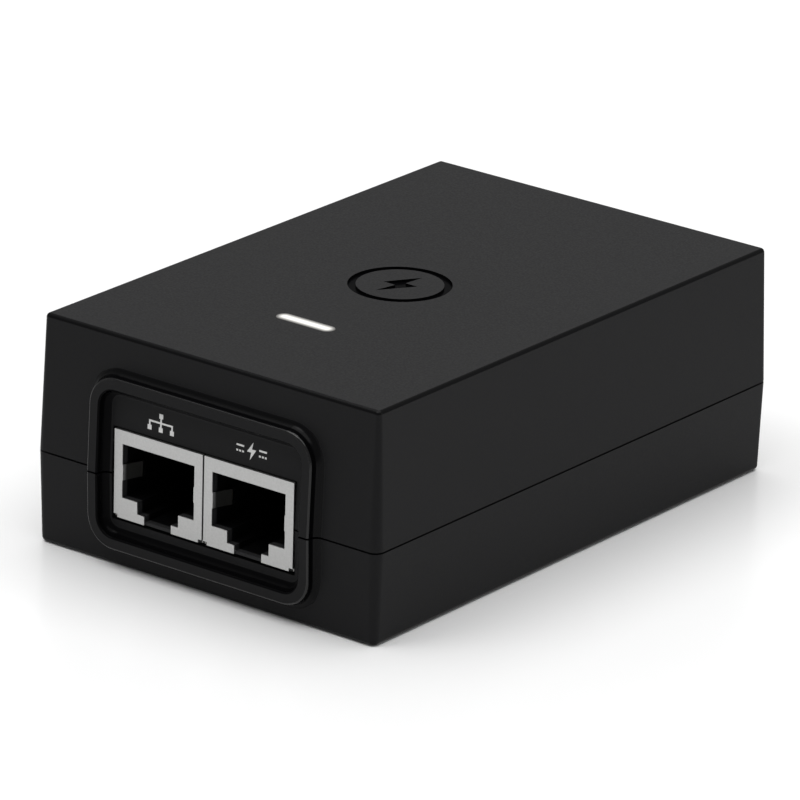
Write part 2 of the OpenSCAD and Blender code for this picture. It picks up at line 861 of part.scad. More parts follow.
module primary_heat_sink() {
    color(aluminium) on_left_sink() sink_plate(24);
}

module secondary_heat_sink() {
    color(aluminium) on_right_sink() sink_plate(24);
}

module switching_transistor() {
    color("#2b2b2d") on_left_sink() power_package();
}

module output_rectifier() {
    color("#2b2b2d") on_right_sink() power_package();
}

module heat_sink_screws() {
    color(steel) {
        on_left_sink() sink_screw();
        on_right_sink() sink_screw();
    }
}

// Transformer: an outer frame of ferrite with a middle leg through the winding
leg_half = 3.2;
window_w = 5.6;
yoke_t = 3.4;

module transformer_core() {
    color("#38383b") on_board(0, transformer_y) difference() {
        translate([-core_w / 2, -5, 1.5]) cube([core_w, 10, core_h - 1.5]);
        for (s = [-1, 1]) translate([s * (leg_half + window_w / 2), 0, 0]) {
            translate([-window_w / 2, -6, 1.5 + yoke_t]) {
                cube([window_w, 12, core_h - 1.5 - 2 * yoke_t]);
            }
        }
    }
}

module transformer_bobbin() {
    h = core_h - 1.5 - 2 * yoke_t;
    w = leg_half + window_w - 0.2;
    color("#2c2f33") on_board(0, transformer_y) {
        difference() {
            union() {
                for (z = [1.5 + yoke_t, 1.5 + yoke_t + h - 0.8]) translate([-w, -core_d / 2, z]) {
                    cube([2 * w, core_d, 0.8]);
                }
                translate([-leg_half - 0.9, -5.9, 1.5 + yoke_t]) {
                    cube([2 * leg_half + 1.8, 11.8, h]);
                }
            }
            translate([-leg_half, -5, 0]) cube([2 * leg_half, 10, core_h]);
        }
        for (s = [-1, 1], i = [0:3]) {
            translate([(i - 1.5) * 4, s * (core_d / 2 - 1), 0]) {
                cylinder(r = 0.4, h = 1.5 + yoke_t + tiny, $fn = 24);
            }
        }
    }
}

module transformer_windings() {
    h = core_h - 1.5 - 2 * yoke_t - 1.6;
    w = leg_half + window_w - 0.8;
    color("#d8a93c") on_board(0, transformer_y) difference() {
        translate([0, 0, 1.5 + yoke_t + 0.8]) linear_extrude(height = h) {
            rounded_rect(2 * w, core_d - 1.4, 3);
        }
        translate([-leg_half - 0.9, -5.9, 0]) cube([2 * leg_half + 1.8, 11.8, core_h]);
    }
}

module isolation_capacitor() {
    color("#2e6fb3") on_board(9, transformer_back_y + 2.4) disc_on_leads(3.6, 3);
}

// Small package that lies flat on the board with legs on two sides
module flat_chip(w, d, h, legs) {
    lift = 0.3;
    leg = [0.8, 0.5, 0.8];
    translate([-w / 2, -d / 2, lift]) cube([w, d, h - lift]);
    for (s = [-1, 1], i = [0:legs - 1]) {
        translate([s * (w / 2 + 0.35), (i - (legs - 1) / 2) * d / legs, 0]) {
            translate([-leg[0] / 2, -leg[1] / 2, 0]) cube(leg);
        }
    }
}

module feedback_coupler() {
    color("#e9e7df") on_board(0, transformer_back_y + 3.2) flat_chip(5, 4.4, 3.4, 2);
}

module controller_chip() {
    x = (core_w / 2 + sink_x - to220_t) / 2;
    color("#222224") on_board(-x, transformer_y) rotate([0, 0, 90]) flat_chip(5, 4.4, 1.8, 4);
}

// --- Output side ---

module output_capacitors() {
    x = core_w / 2 + 0.7 + output_cap_r;
    color("#1f2f25") for (s = [-1, 1]) on_board(s * x, output_cap_y) {
        difference() {
            cylinder(r = output_cap_r, h = output_cap_h);
            translate([0, 0, 1.3]) rotate_extrude() translate([output_cap_r + 0.2, 0]) circle(0.5);
        }
    }
}

module output_choke() {
    flange_r = 4.2;
    flange_t = 1.4;
    h = 10;
    color("#2d2d30") on_board((jack_pair_w / 2 + right_x) / 2, jack_face_y + 14.4) {
        for (z = [0, h - flange_t]) translate([0, 0, z]) cylinder(r = flange_r, h = flange_t);
        cylinder(r = flange_r - 0.3, h = h);
    }
}

module network_transformer() {
    y = (screw_ys[0] + screw_head_r + output_cap_y - output_cap_r) / 2;
    color("#1f1f21") on_board((lan_x + left_x) / 2, y) {
        flat_chip(6.4, 12, 5.2, 8);
    }
}

// --- What is drawn ---

top_cover();
base_tray();
light_pipe();
rating_label();
wall_bracket();
jack_shield(lan_x);  // lan_jack_shield
jack_insert(lan_x);  // lan_jack_insert
contact_springs(lan_x);  // lan_contact_springs
solder_pins(lan_x);  // lan_solder_pins
jack_shield(poe_x);  // poe_jack_shield
jack_insert(poe_x);  // poe_jack_insert
contact_springs(poe_x);  // poe_contact_springs
solder_pins(poe_x);  // poe_solder_pins
circuit_board();
board_screws();
insulation_sheet();
indicator_led();
inlet_housing();
inlet_pins();
mains_fuse();
surge_varistor();
inrush_thermistor();
suppression_capacitor();
line_choke_core();
line_choke_windings();
bridge_rectifier();
bulk_capacitor();
switching_transistor();
primary_heat_sink();
transformer_core();
transformer_bobbin();
transformer_windings();
isolation_capacitor();
feedback_coupler();
controller_chip();
output_rectifier();
secondary_heat_sink();
heat_sink_screws();
output_capacitors();
output_choke();
network_transformer();
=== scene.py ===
"""Power injector for network cables: finishes, printed marks and fine pieces round its frame.

Every length is in metres unless its name ends in _mm. The part stands on z = 0 with its
sockets facing -Y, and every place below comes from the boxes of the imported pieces.
"""

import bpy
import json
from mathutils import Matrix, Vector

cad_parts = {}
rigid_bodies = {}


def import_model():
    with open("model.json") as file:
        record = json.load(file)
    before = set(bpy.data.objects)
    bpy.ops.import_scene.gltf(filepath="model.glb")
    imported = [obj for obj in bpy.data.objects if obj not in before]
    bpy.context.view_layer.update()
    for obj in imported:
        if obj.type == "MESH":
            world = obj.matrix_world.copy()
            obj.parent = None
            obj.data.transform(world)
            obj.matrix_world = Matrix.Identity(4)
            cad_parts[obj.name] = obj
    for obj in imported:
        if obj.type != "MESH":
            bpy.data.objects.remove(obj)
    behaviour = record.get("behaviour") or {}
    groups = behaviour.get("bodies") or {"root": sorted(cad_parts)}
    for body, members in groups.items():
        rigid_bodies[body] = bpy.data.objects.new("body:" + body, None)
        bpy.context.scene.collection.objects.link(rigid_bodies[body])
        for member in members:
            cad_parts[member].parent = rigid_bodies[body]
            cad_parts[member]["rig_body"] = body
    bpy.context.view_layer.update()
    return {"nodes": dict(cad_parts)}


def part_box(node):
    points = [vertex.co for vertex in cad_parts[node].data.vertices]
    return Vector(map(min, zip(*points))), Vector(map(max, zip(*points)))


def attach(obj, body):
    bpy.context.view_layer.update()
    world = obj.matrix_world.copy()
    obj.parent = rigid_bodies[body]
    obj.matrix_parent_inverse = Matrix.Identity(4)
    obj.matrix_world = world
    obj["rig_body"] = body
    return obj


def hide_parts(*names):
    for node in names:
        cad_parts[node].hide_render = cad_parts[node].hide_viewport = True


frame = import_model()

import json
import math

import bpy
from bpy.props import FloatProperty, FloatVectorProperty, PointerProperty
from bpy.types import Operator, Panel, PropertyGroup
from mathutils import Matrix, Vector

bl_info = {
    "name": "Network Power Injector",
    "version": (1, 0, 0),
    "blender": (4, 5, 0),
    "location": "View3D > Sidebar > Injector",
    "description": "Finishes, printed marks and fine pieces of a network power injector",
    "category": "Object",
}

MM = 0.001
NODES = frame["nodes"]
COVER_LOW, COVER_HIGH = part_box("top_cover")
BASE_LOW, BASE_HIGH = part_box("base_tray")
LAN_LOW, LAN_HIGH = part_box("lan_jack_shield")
POE_LOW, POE_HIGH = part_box("poe_jack_shield")
LIGHT_LOW, LIGHT_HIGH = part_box("light_pipe")
FRAME_PROUD = 1.6 * MM
FRAME_FOOT = 1.1 * MM
FRAME_FACE = 1.75 * MM
FRAME_EDGE = 0.35 * MM
FRONT_Y = COVER_LOW.y + FRAME_PROUD
SEAM_Z = COVER_LOW.z - 0.125 * MM
COVER_LEAN = 0.72 * MM / (COVER_HIGH.z - COVER_LOW.z)
BASE_LEAN = 0.37 * MM / COVER_LOW.z
MARK_BACK_MM = 40.5  # from the frame's face to the middle of the mark on top
SUNK_BELOW = 0.02 * MM
FRONT_FACING = -0.985  # a face whose normal's Y is above this isn't part of the front wall
NOISE_LOW, NOISE_HIGH = 0.3, 0.7  # the range that most of a noise falls in
MERGE = 0.002 * MM
SAME_PLANE = math.radians(0.5)
SHARP = math.radians(40)
SMOOTH = math.radians(35)
POLISHED_ROUGHNESS = 0.2
GRAIN_STRENGTH = 0.45
GLOW_AT_RIM = 0.04
FLOOR_SIZE = 8
FLOOR_DROP = 0.05 * MM  # so that the floor and the case's underside never share a plane
SENSOR_MM = 36


# --- Colours and nodes ---

def linear(code):
    """Linear RGBA of an sRGB hex colour."""
    channels = [int(code[i:i + 2], 16) / 255 for i in (1, 3, 5)]
    return [c / 12.92 if c <= 0.04045 else ((c + 0.055) / 1.055) ** 2.4 for c in channels] + [1.0]


def add_node(tree, kind, settings=None, links=None):
    """A node with its settings and its links: names that aren't settings are input sockets."""
    made = tree.nodes.new(kind)
    for key, value in (settings or {}).items():
        if isinstance(key, str) and hasattr(made, key):
            setattr(made, key, value)
        else:
            made.inputs[key].default_value = value
    for socket, source in (links or {}).items():
        tree.links.new(source, made.inputs[socket])
    return made


def new_finish(name, colour, roughness, metallic=0.0, ior=1.5, specular=0.5):
    """An empty finish: its material, node tree, shader and the place on the piece in metres."""
    material = bpy.data.materials.new(name)
    material.use_nodes = True
    tree = material.node_tree
    shader = tree.nodes["Principled BSDF"]
    shader.inputs["Base Color"].default_value = colour
    shader.inputs["Roughness"].default_value = roughness
    shader.inputs["Metallic"].default_value = metallic
    shader.inputs["IOR"].default_value = ior
    shader.inputs["Specular IOR Level"].default_value = specular
    place = add_node(tree, "ShaderNodeTexCoord").outputs["Object"]
    return material, tree, shader, place


def grain(tree, shader, place, size_mm, depth_mm, strength=1.0, detail=2.0):
    """Moulded or blasted grain: bumps about size_mm wide and depth_mm deep. Gives its noise."""
    noise = add_node(
        tree, "ShaderNodeTexNoise", {"Scale": 1 / (size_mm * MM), "Detail": detail},
        {"Vector": place},
    )
    bump = add_node(
        tree, "ShaderNodeBump", {"Strength": strength, "Distance": depth_mm * MM},
        {"Height": noise.outputs["Fac"]},
    )
    tree.links.new(bump.outputs["Normal"], shader.inputs["Normal"])
    return noise, bump


def vary(tree, factor, low, high):
    """A value that runs from low to high over the range that a noise fills."""
    return add_node(
        tree, "ShaderNodeMapRange",
        {"From Min": NOISE_LOW, "From Max": NOISE_HIGH, "To Min": low, "To Max": high},
        {"Value": factor},
    ).outputs["Result"]


def vary_colour(tree, factor, dark, light):
    """A colour that runs from dark to light over the range that a noise fills."""
    ramp = add_node(tree, "ShaderNodeValToRGB", None, {"Fac": factor})
    ramp.color_ramp.elements[0].position = NOISE_LOW
    ramp.color_ramp.elements[1].position = NOISE_HIGH
    ramp.color_ramp.elements[0].color = dark
    ramp.color_ramp.elements[1].color = light
    return ramp.outputs["Color"]


def calc(tree, operation, first, second=0.0):
    """The result of one sum on two values, each a number or a socket."""
    made = add_node(tree, "ShaderNodeMath", {"operation": operation})
    for i, value in enumerate((first, second)):
        if isinstance(value, (int, float)):
            made.inputs[i].default_value = value
        else:
            tree.links.new(value, made.inputs[i])
    return made.outputs[0]


def dress(node, material):
    """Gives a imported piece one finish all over."""
    mesh = NODES[node].data
    mesh.materials.clear()
    mesh.materials.append(material)


def only(piece):
    """Makes a piece the one that operators act on."""
    bpy.ops.object.select_all(action="DESELECT")
    bpy.context.view_layer.objects.active = piece
    piece.select_set(True)


def softened(node, width_mm, material, segments=2):
    """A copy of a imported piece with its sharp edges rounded, which stands for that piece."""
    piece = bpy.data.objects.new(f"{node}_soft_edged", NODES[node].data.copy())
    bpy.context.scene.collection.objects.link(piece)
    only(piece)
    bpy.ops.mesh.customdata_custom_splitnormals_clear()
    bpy.ops.object.mode_set(mode="EDIT")
    bpy.ops.mesh.select_all(action="SELECT")
    bpy.ops.mesh.remove_doubles(threshold=MERGE)
    bpy.ops.mesh.dissolve_limited(angle_limit=SAME_PLANE)
    bpy.ops.object.mode_set(mode="OBJECT")
    bevel = piece.modifiers.new("edges", "BEVEL")
    bevel.width = width_mm * MM
    bevel.segments = segments
    bevel.limit_method = "ANGLE"
    bevel.angle_limit = SHARP
    bpy.ops.object.modifier_apply(modifier="edges")
    bpy.ops.object.shade_smooth_by_angle(angle=SMOOTH)
    flatten = piece.modifiers.new("flat_faces", "WEIGHTED_NORMAL")
    flatten.weight = 100
    flatten.keep_sharp = True
    bpy.ops.object.modifier_apply(modifier="flat_faces")
    piece.data.materials.clear()
    piece.data.materials.append(material)
    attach(piece, NODES[node]["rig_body"])
    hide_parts(node)
    return piece


# --- Finishes ---

def frame_distance(tree, spot, size):
    """How far a place lies outside the socket frame's outer outline, below 0 inside it."""
    radius = size.frame_r_mm * MM
    middle_z = (size.frame_z_mm + size.frame_h_mm / 2) * MM
    height = calc(tree, "ABSOLUTE", calc(tree, "SUBTRACT", spot.outputs["Z"], middle_z))
    beside = calc(
        tree, "SUBTRACT", calc(tree, "ABSOLUTE", spot.outputs["X"]),
        size.frame_w_mm * MM / 2 - radius,
    )
    above = calc(tree, "SUBTRACT", height, size.frame_h_mm * MM / 2 - radius)
    out_x = calc(tree, "MAXIMUM", beside, 0.0)
    out_z = calc(tree, "MAXIMUM", above, 0.0)
    corner = calc(
        tree, "SQRT",
        calc(
            tree, "ADD", calc(tree, "MULTIPLY", out_x, out_x),
            calc(tree, "MULTIPLY", out_z, out_z),
        ),
    )
    within = calc(tree, "MINIMUM", calc(tree, "MAXIMUM", beside, above), 0.0)
    return calc(tree, "SUBTRACT", calc(tree, "ADD", corner, within), radius)


def frame_masks(tree, spot, facing, size):
    """Where the frame's flanks, its outer edge and the hollow at its foot outside are."""
    distance = frame_distance(tree, spot, size)
    above_seam = calc(tree, "SUBTRACT", spot.outputs["Z"], SEAM_Z)
    lean_back = calc(
        tree, "MAXIMUM", calc(tree, "MULTIPLY", above_seam, COVER_LEAN),
        calc(tree, "MULTIPLY", above_seam, -BASE_LEAN),
    )
    proud = calc(tree, "SUBTRACT", FRONT_Y, calc(tree, "SUBTRACT", spot.outputs["Y"], lean_back))
    near_ring = calc(
        tree, "MULTIPLY", calc(tree, "LESS_THAN", distance, FRAME_FOOT),
        calc(tree, "GREATER_THAN", distance, -FRAME_FACE - FRAME_FOOT),
    )
    turned = calc(tree, "GREATER_THAN", facing.outputs["Y"], FRONT_FACING)
    flank = calc(
        tree, "MULTIPLY", calc(tree, "MULTIPLY", near_ring, turned),
        calc(tree, "GREATER_THAN", proud, -0.1 * MM),
    )
    outside = calc(
        tree, "MULTIPLY", flank, calc(tree, "GREATER_THAN", distance, -FRAME_FACE / 2)
    )
    edge = calc(
        tree, "MULTIPLY", outside, calc(tree, "GREATER_THAN", proud, FRAME_PROUD - FRAME_EDGE)
    )
    hollow = calc(tree, "MULTIPLY", outside, calc(tree, "LESS_THAN", proud, FRAME_FOOT * 0.6))
    return flank, edge, hollow


def sunk_mask(tree, spot, size):
    """Where the floor and the sides of the mark sunk into the top are."""
    across = calc(tree, "LESS_THAN", calc(tree, "ABSOLUTE", spot.outputs["X"]), size.mark_r_mm * MM)
    along = calc(tree, "ABSOLUTE", calc(tree, "SUBTRACT", spot.outputs["Y"], size.mark_y_mm * MM))
    near = calc(tree, "LESS_THAN", along, size.mark_r_mm * MM)
    below = calc(tree, "LESS_THAN", spot.outputs["Z"], COVER_HIGH.z - SUNK_BELOW)
    return calc(tree, "MULTIPLY", calc(tree, "MULTIPLY", across, near), below)


def rounded_mask(tree, facing):
    """Where the sides turn into the top or the underside, between the two."""
    upright = calc(tree, "ABSOLUTE", facing.outputs["Z"])
    off_side = add_node(
        tree, "ShaderNodeMapRange", {"From Min": 0.08, "From Max": 0.2}, {"Value": upright}
    )
    off_flat = add_node(
        tree, "ShaderNodeMapRange", {"From Min": 0.998, "From Max": 0.98}, {"Value": upright}
    )
    return calc(tree, "MULTIPLY", off_side.outputs["Result"], off_flat.outputs["Result"])


def spark_textured_abs(size):
    """ABS moulded in a spark-eroded cavity: matt and nearly black, with the fine even grain
    that such a mould leaves. The mould's rounded edges, the socket frame's flanks and the
    floor of the sunk mark are smooth and glossier, and are given a darker colour as painted
    shade. The frame's outer edge and the hollow at its foot get a raised specular level as a
    painted highlight. The flanks and the sunk floor get a specular level near nothing, which
    paints them dark as painted shade."""
    material, tree, shader, place = new_finish(
        "spark_textured_abs", size.shell, 0.5, ior=1.46, specular=0.15
    )
    noise, bump = grain(tree, shader, place, size.grain_mm, 0.012)
    spot = add_node(tree, "ShaderNodeSeparateXYZ", None, {"Vector": place})
    facing = add_node(
        tree, "ShaderNodeSeparateXYZ", None,
        {"Vector": add_node(tree, "ShaderNodeTexCoord").outputs["Normal"]},
    )
    flank, edge, hollow = frame_masks(tree, spot, facing, size)
    sunk = sunk_mask(tree, spot, size)
    rounded = rounded_mask(tree, facing)
    dark = calc(tree, "MAXIMUM", flank, sunk)
    polish_and_shade = calc(tree, "MAXIMUM", dark, rounded)
    matt = vary(tree, noise.outputs["Fac"], 0.44, 0.56)
    rough = add_node(tree, "ShaderNodeMix", {"data_type": "FLOAT"}, {0: polish_and_shade, 2: matt})
    rough.inputs[3].default_value = POLISHED_ROUGHNESS
    tree.links.new(rough.outputs[0], shader.inputs["Roughness"])
    tree.links.new(
        calc(tree, "MULTIPLY", calc(tree, "SUBTRACT", 1.0, polish_and_shade), GRAIN_STRENGTH),
        bump.inputs["Strength"],
    )
    shade = [c * 0.85 for c in size.shell[:3]] + [1]
    light = [c * 1.15 for c in size.shell[:3]] + [1]
    mottled = vary_colour(tree, noise.outputs["Fac"], shade, light)
    # the smooth areas take a darker colour than the grained skin: painted shade that stands in for
    # their dark reflections
    tone = add_node(tree, "ShaderNodeMix", {"data_type": "RGBA"}, {0: polish_and_shade, 6: mottled})
    tone.inputs[7].default_value = size.polish_and_shade
    tree.links.new(tone.outputs[2], shader.inputs["Base Color"])
    # specular level by place: raised on the frame's outer edge and the hollow at its foot as a
    # painted highlight, near nothing on the flanks and the sunk floor as painted shade
    lit = calc(
        tree, "ADD", calc(tree, "MULTIPLY", edge, size.edge_painted_highlight),
        calc(tree, "ADD", calc(tree, "MULTIPLY", hollow, size.hollow_painted_highlight), size.sunk_painted_dark_shine),
    )
    lit = calc(tree, "ADD", lit, calc(tree, "MULTIPLY", flank, size.flank_painted_dark_shine))
    skin = add_node(tree, "ShaderNodeMix", {"data_type": "FLOAT"}, {0: rounded})
    skin.inputs[2].default_value = size.matt_shine
    skin.inputs[3].default_value = size.rounded_shine
    shine = add_node(
        tree, "ShaderNodeMix", {"data_type": "FLOAT"}, {0: dark, 2: skin.outputs[0], 3: lit}
    )
    tree.links.new(shine.outputs[0], shader.inputs["Specular IOR Level"])
    return material


def lit_polycarbonate(size):
    """Frosted polycarbonate, moulded and lit from below: the middle of the bar is brightest
    and its light falls off towards the rounded rim."""
    material, tree, shader, place = new_finish(
        "lit_frosted_polycarbonate", linear("#3e3c39"), 0.35, ior=1.585, specular=0.3
    )
    grain(tree, shader, place, 0.2, 0.004, 0.3)
    middle = (LIGHT_LOW + LIGHT_HIGH) / 2
    half_l = size.light_l_mm * MM / 2
    half_w = size.light_w_mm * MM / 2
    spot = add_node(tree, "ShaderNodeSeparateXYZ", None, {"Vector": place})
    along = calc(
        tree, "MAXIMUM",
        calc(tree, "SUBTRACT", calc(tree, "ABSOLUTE", spot.outputs["X"]), half_l - half_w), 0.0,
    )
    across = calc(tree, "SUBTRACT", spot.outputs["Y"], middle.y)
    reach = calc(
        tree, "SQRT",
        calc(
            tree, "ADD", calc(tree, "MULTIPLY", along, along),
            calc(tree, "MULTIPLY", across, across),
        ),
    )
    glow = add_node(
        tree, "ShaderNodeMapRange",
        {
            "interpolation_type": "SMOOTHSTEP", "From Min": half_w * 0.1, "From Max": half_w,
            "To Min": size.glow, "To Max": size.glow * GLOW_AT_RIM,
        },
        {"Value": reach},
    ).outputs["Result"]
    shader.inputs["Emission Color"].default_value = size.light
    tree.links.new(glow, shader.inputs["Emission Strength"])
    return material


def deeper(tree, place, start_mm, end_mm):
    """0 at start_mm behind the sockets' faces, rising to 1 at end_mm behind them."""
    spot = add_node(tree, "ShaderNodeSeparateXYZ", None, {"Vector": place})
    return add_node(
        tree, "ShaderNodeMapRange",
        {"From Min": LAN_LOW.y + start_mm * MM, "From Max": LAN_LOW.y + end_mm * MM},
        {"Value": spot.outputs["Y"]},
    ).outputs["Result"]


def nickel_plated_steel(size):
    """Stamped steel with a dull nickel plate: plain grey with the faint mottle of the bath,
    and painted darker inside the opening as painted shade."""
    material, tree, shader, place = new_finish(
        "dull_nickel_plated_steel", size.plating, 0.42, metallic=1.0
    )
    noise, _ = grain(tree, shader, place, 0.3, 0.003, 0.35)
    tree.links.new(vary(tree, noise.outputs["Fac"], 0.38, 0.5), shader.inputs["Roughness"])
    dull = [c * 0.93 for c in size.plating[:3]] + [1]
    bright = [c * 1.06 for c in size.plating[:3]] + [1]
    plate = vary_colour(tree, noise.outputs["Fac"], dull, bright)
    # past 0.15 mm behind the face the plate turns to a darker colour: painted shade inside the
    # opening
    inside = add_node(
        tree, "ShaderNodeMix", {"data_type": "RGBA"}, {0: deeper(tree, place, 0.15, 0.6), 6: plate}
    )
    inside.inputs[7].default_value = size.inner_painted_shade
    tree.links.new(inside.outputs[2], shader.inputs["Base Color"])
    return material


def glass_filled_pbt(size):
    """Glass-filled polyester, moulded: black, with the first millimetre of the opening
    painted a lighter grey as painted light, turning to the plain black deeper in."""
    material, tree, shader, place = new_finish(
        "glass_filled_pbt", size.body, 0.5, specular=0.1
    )
    noise, _ = grain(tree, shader, place, 0.25, 0.006, 0.4)
    tree.links.new(vary(tree, noise.outputs["Fac"], 0.45, 0.6), shader.inputs["Roughness"])
    # the first millimetre of the opening is painted a lighter grey: painted light where the wall
    # near the front catches the light
    painted_light = add_node(
        tree, "ShaderNodeMix", {"data_type": "RGBA"}, {0: deeper(tree, place, 1.0, 1.15)}
    )
    painted_light.inputs[6].default_value = size.painted_light
    painted_light.inputs[7].default_value = size.body
    tree.links.new(painted_light.outputs[2], shader.inputs["Base Color"])
    return material


def plain_metal(name, colour, roughness, mottle_mm):
    """Plated or bare metal whose gloss varies a little over mottle_mm."""
    material, tree, shader, place = new_finish(name, colour, roughness, metallic=1.0)
    noise, _ = grain(tree, shader, place, mottle_mm, 0.002, 0.3)
    tree.links.new(
        vary(tree, noise.outputs["Fac"], roughness * 0.85, roughness * 1.2),
        shader.inputs["Roughness"],
    )
    return material


def plain_plastic(name, colour, roughness, grain_mm, shade=0.12):
    """Moulded, dipped or coated resin: its colour shifts by shade over its grain."""
    material, tree, shader, place = new_finish(name, colour, roughness)
    noise, _ = grain(tree, shader, place, grain_mm, 0.005, 0.4)
    dark = [c * (1 - shade) for c in colour[:3]] + [1]
    light = [c * (1 + shade) for c in colour[:3]] + [1]
    tree.links.new(
        vary_colour(tree, noise.outputs["Fac"], dark, light), shader.inputs["Base Color"]
    )
    tree.links.new(
        vary(tree, noise.outputs["Fac"], roughness * 0.9, roughness * 1.15),
        shader.inputs["Roughness"],
    )
    return material


# --- Sizes that a user would change ---

class CaseSize(PropertyGroup):
    shell: FloatVectorProperty(
        name="Shell", description="Colour of the moulded case", subtype="COLOR", size=4,
        default=linear("#151516"),
    )
    # darker colour of the smooth areas of the case: painted shade
    polish_and_shade: FloatVectorProperty(
        name="Polish_and_shade", description="Colour of the frame's polished flanks", subtype="COLOR",
        size=4, default=linear("#070708"),
    )
    grain_mm: FloatProperty(
        name="Grain", description="Width of the mould's grain in mm, coarser than the real 0.1",
        default=0.28, min=0.1, max=1,
    )
    frame_w_mm: FloatProperty(
        name="Frame width", description="Outer width of the socket frame in mm", default=37
    )
    frame_h_mm: FloatProperty(
        name="Frame height", description="Outer height of the socket frame in mm", default=23.7
    )
    frame_z_mm: FloatProperty(
        name="Frame foot", description="Height of the frame's lower edge in mm", default=2.85
    )
    frame_r_mm: FloatProperty(
        name="Frame corner", description="Outer corner radius of the frame in mm", default=4.2
    )
    mark_r_mm: FloatProperty(name="Mark", description="Radius of the sunk ring in mm", default=7)
    mark_y_mm: FloatProperty(
        name="Mark's place", description="Y of the ring's middle in mm",
        default=FRONT_Y / MM + MARK_BACK_MM,
    )
    matt_shine: FloatProperty(
        name="Matt shine", description="Specular level of the grained skin", default=0.12
    )
    # specular levels of the frame's places: the edge and hollow levels are painted highlights, and
    # the low flank and sunk levels paint those places dark as painted shade
    sunk_painted_dark_shine: FloatProperty(
        name="Sunk shine", description="Specular level of the sunk mark's floor", default=0.004
    )
    flank_painted_dark_shine: FloatProperty(
        name="Flank shine", description="What the frame's polished flanks add to it", default=0.026
    )
    rounded_shine: FloatProperty(
        name="Rounded shine", description="Specular level of the case's rounded edges", default=0.12
    )
    edge_painted_highlight: FloatProperty(
        name="Edge shine", description="What the frame's outer edge adds to it", default=0.4
    )
    hollow_painted_highlight: FloatProperty(
        name="Hollow shine", description="What the hollow at the frame's foot adds", default=0.06
    )


class LightSize(PropertyGroup):
    light_l_mm: FloatProperty(
        name="Length", description="Length of the light bar in mm", default=9.3
    )
    light_w_mm: FloatProperty(name="Width", description="Width of the light bar in mm", default=2.3)
    glow: FloatProperty(
        name="Glow", description="Strength of the light at the bar's middle", default=1.1
    )
    light: FloatVectorProperty(
        name="Light", description="Colour of the light", subtype="COLOR", size=4,
        default=linear("#fffdf8"),
    )


class SocketSize(PropertyGroup):
    plating: FloatVectorProperty(
        name="Plating", description="Colour of the shields' nickel plate", subtype="COLOR", size=4,
        default=linear("#babab9"),
    )
    # darker plate colour inside the opening: painted shade
    inner_painted_shade: FloatVectorProperty(
        name="Inside", description="Colour of the shields' plate inside the opening",
        subtype="COLOR", size=4, default=linear("#454543"),
    )
    body: FloatVectorProperty(
        name="Body", description="Colour of the sockets' plastic", subtype="COLOR", size=4,
        default=linear("#040405"),
    )
    shield_edge_mm: FloatProperty(
        name="Shield's edge", description="Rounding of the stamped shield's edges in mm",
        default=0.05,
    )
    # lighter grey of the opening's first millimetre: painted light
    painted_light: FloatVectorProperty(
        name="Painted_light_band", description="Colour of the plastic's rubbed edge", subtype="COLOR", size=4,
        default=linear("#29292a"),
    )


class PrintSize(PropertyGroup):
    ink: FloatVectorProperty(
        name="Ink", description="Colour of the printed marks", subtype="COLOR", size=4,
        default=linear("#d2d2d1"),
    )
    line_mm: FloatProperty(name="Line", description="Width of a printed line in mm", default=0.25)
    height_mm: FloatProperty(
        name="Height", description="Height of a printed mark in mm", default=2.5
    )
    place_z_mm: FloatProperty(
        name="Place", description="Height of the marks' middle in mm", default=21.7
    )
    ink_t_mm: FloatProperty(
        name="Thickness", description="Thickness of the ink in mm", default=0.03
    )


class StageSize(PropertyGroup):
    azimuth: FloatProperty(
        name="Azimuth", description="Side that the camera stands on", default=math.radians(37.408),
        subtype="ANGLE",
    )
    elevation: FloatProperty(
        name="Elevation", description="Height of the camera as an angle",
        default=math.radians(20.465), subtype="ANGLE",
    )
    roll: FloatProperty(
        name="Roll", description="Tilt of the camera about its own line of sight",
        default=math.radians(1.546), subtype="ANGLE",
    )
    distance: FloatProperty(
        name="Distance", description="Distance from the camera to what it aims at",
        default=0.9516, unit="LENGTH",
    )
    aim: FloatVectorProperty(
        name="Aim", description="Point that the camera looks at", subtype="XYZ", unit="LENGTH",
        default=(-0.00151, 0.00096, 0.0145),
    )
    sky: FloatProperty(name="Sky", description="Strength of the even light all round", default=0.4)
    overhead: FloatProperty(name="Overhead", description="Watts of the overhead lamp", default=52)
    side: FloatProperty(name="Side", description="Watts of the lamp on the right", default=1.5)
    rear: FloatProperty(name="Rear", description="Watts of the lamp behind", default=2.0)
    front: FloatProperty(name="Front", description="Watts of the lamp in front", default=1.2)
    lens_mm: FloatProperty(name="Lens", description="Focal length on a 36 mm sensor", default=320.2)
    floor: FloatVectorProperty(
        name="Floor", description="Colour of the floor", subtype="COLOR", size=4,
        default=linear("#fbfbfb"),
    )


# --- Pieces ---

class INJECTOR_OT_case(Operator):
    """Give the cover and the base their moulded grain, and the frame its polish with painted shade
    on its flanks and a painted highlight on its outer edge
    """
    bl_idname = "injector.case"
    bl_label = "Case"

    def execute(self, context):
        material = spark_textured_abs(context.scene.injector_case)
        dress("top_cover", material)
        dress("base_tray", material)
        return {"FINISHED"}


class INJECTOR_OT_light(Operator):
    """Light the bar in the cover"""
    bl_idname = "injector.light"
    bl_label = "Light bar"

    def execute(self, context):
        dress("light_pipe", lit_polycarbonate(context.scene.injector_light))
        dress("indicator_led", plain_plastic("cast_epoxy_lens", linear("#f1e9bd"), 0.25, 0.5))
        return {"FINISHED"}


